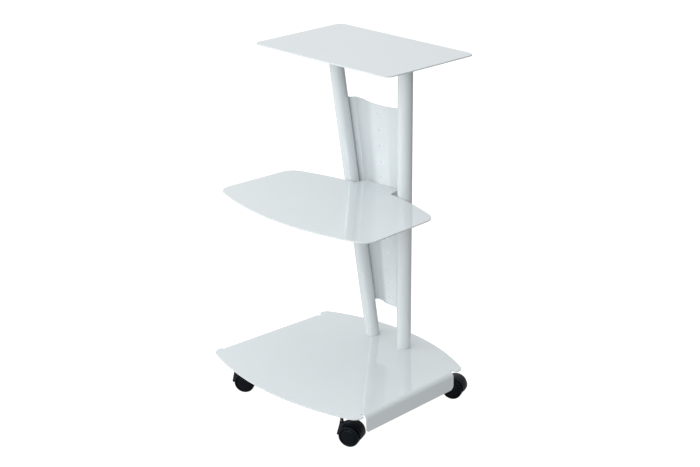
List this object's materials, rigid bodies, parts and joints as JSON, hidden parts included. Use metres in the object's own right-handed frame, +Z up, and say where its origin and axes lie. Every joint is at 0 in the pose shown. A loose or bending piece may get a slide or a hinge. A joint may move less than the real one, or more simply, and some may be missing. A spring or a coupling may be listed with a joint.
{
  "type": "rolling salon trolley",
  "caption": "White sheet-steel salon trolley: flat top shelf, bowed middle shelf and base on two leaning posts, with hooded twin-wheel casters.",
  "frame": {"origin": "on the floor under the middle of the base plate", "axes": "+Z up, the front of the trolley faces -Y, +X is the right side seen from the front"},
  "size_m": [0.5162, 0.4652, 0.84],
  "materials": {
    "white_powder_coat": "gloss powder coat",
    "black_nylon": "moulded, slightly worn satin",
    "black_steel": "black oxide",
    "zinc_steel": "zinc plated"
  },
  "bodies": {
    "frame": {"base_plate": "white_powder_coat", "caster_bosses": "white_powder_coat", "left_upright": "white_powder_coat", "right_upright": "white_powder_coat", "top_strap": "white_powder_coat", "top_shelf": "white_powder_coat", "back_panel": "white_powder_coat", "base_bolts": "zinc_steel", "base_washers": "zinc_steel", "upright_foot_plugs": "zinc_steel", "upright_head_plugs": "zinc_steel", "top_strap_screws": "zinc_steel", "top_shelf_studs": "zinc_steel", "top_shelf_nuts": "zinc_steel", "panel_screws": "zinc_steel", "front_right_caster_stem": "black_steel", "front_left_caster_stem": "black_steel", "rear_right_caster_stem": "black_steel", "rear_left_caster_stem": "black_steel"},
    "middle_shelf_unit": {"middle_shelf": "white_powder_coat", "middle_shelf_bracket": "white_powder_coat", "middle_shelf_bolts": "zinc_steel", "middle_shelf_nuts": "zinc_steel"},
    "front_right_caster_swivel": {"front_right_caster_hood": "black_nylon", "front_right_caster_axle": "zinc_steel"},
    "front_right_caster_left_wheel": {"front_right_caster_left_wheel": "black_nylon"},
    "front_right_caster_right_wheel": {"front_right_caster_right_wheel": "black_nylon"},
    "front_left_caster_swivel": {"front_left_caster_hood": "black_nylon", "front_left_caster_axle": "zinc_steel"},
    "front_left_caster_left_wheel": {"front_left_caster_left_wheel": "black_nylon"},
    "front_left_caster_right_wheel": {"front_left_caster_right_wheel": "black_nylon"},
    "rear_right_caster_swivel": {"rear_right_caster_hood": "black_nylon", "rear_right_caster_axle": "zinc_steel"},
    "rear_right_caster_left_wheel": {"rear_right_caster_left_wheel": "black_nylon"},
    "rear_right_caster_right_wheel": {"rear_right_caster_right_wheel": "black_nylon"},
    "rear_left_caster_swivel": {"rear_left_caster_hood": "black_nylon", "rear_left_caster_axle": "zinc_steel"},
    "rear_left_caster_left_wheel": {"rear_left_caster_left_wheel": "black_nylon"},
    "rear_left_caster_right_wheel": {"rear_left_caster_right_wheel": "black_nylon"}
  },
  "joints": [
    {"name": "middle_shelf_height", "type": "slide", "parent": "frame", "child": "middle_shelf_unit", "axis": [0, -0.0704, 0.9975], "range_m": [-0.12, 0.12]},
    {"name": "front_right_swivel", "type": "hinge", "parent": "frame", "child": "front_right_caster_swivel", "pos_m": [0.1912, -0.169, 0.05], "axis": [0, 0, 1], "continuous": true},
    {"name": "front_right_left_wheel_spin", "type": "hinge", "parent": "front_right_caster_swivel", "child": "front_right_caster_left_wheel", "pos_m": [0.21369, -0.1588, 0.025], "axis": [-0.4131, 0.9107, 0], "continuous": true},
    {"name": "front_right_right_wheel_spin", "type": "hinge", "parent": "front_right_caster_swivel", "child": "front_right_caster_right_wheel", "pos_m": [0.21369, -0.1588, 0.025], "axis": [-0.4131, 0.9107, 0], "continuous": true},
    {"name": "front_left_swivel", "type": "hinge", "parent": "frame", "child": "front_left_caster_swivel", "pos_m": [-0.1912, -0.169, 0.05], "axis": [0, 0, 1], "continuous": true},
    {"name": "front_left_left_wheel_spin", "type": "hinge", "parent": "front_left_caster_swivel", "child": "front_left_caster_left_wheel", "pos_m": [-0.17122, -0.15448, 0.025], "axis": [-0.5878, 0.809, 0], "continuous": true},
    {"name": "front_left_right_wheel_spin", "type": "hinge", "parent": "front_left_caster_swivel", "child": "front_left_caster_right_wheel", "pos_m": [-0.17122, -0.15448, 0.025], "axis": [-0.5878, 0.809, 0], "continuous": true},
    {"name": "rear_right_swivel", "type": "hinge", "parent": "frame", "child": "rear_right_caster_swivel", "pos_m": [0.1912, 0.169, 0.05], "axis": [0, 0, 1], "continuous": true},
    {"name": "rear_right_left_wheel_spin", "type": "hinge", "parent": "rear_right_caster_swivel", "child": "rear_right_caster_left_wheel", "pos_m": [0.2136, 0.1794, 0.025], "axis": [-0.421, 0.907, 0], "continuous": true},
    {"name": "rear_right_right_wheel_spin", "type": "hinge", "parent": "rear_right_caster_swivel", "child": "rear_right_caster_right_wheel", "pos_m": [0.2136, 0.1794, 0.025], "axis": [-0.421, 0.907, 0], "continuous": true},
    {"name": "rear_left_swivel", "type": "hinge", "parent": "frame", "child": "rear_left_caster_swivel", "pos_m": [-0.1912, 0.169, 0.05], "axis": [0, 0, 1], "continuous": true},
    {"name": "rear_left_left_wheel_spin", "type": "hinge", "parent": "rear_left_caster_swivel", "child": "rear_left_caster_left_wheel", "pos_m": [-0.16919, 0.18021, 0.025], "axis": [-0.454, 0.891, 0], "continuous": true},
    {"name": "rear_left_right_wheel_spin", "type": "hinge", "parent": "rear_left_caster_swivel", "child": "rear_left_caster_right_wheel", "pos_m": [-0.16919, 0.18021, 0.025], "axis": [-0.454, 0.891, 0], "continuous": true}
  ]
}
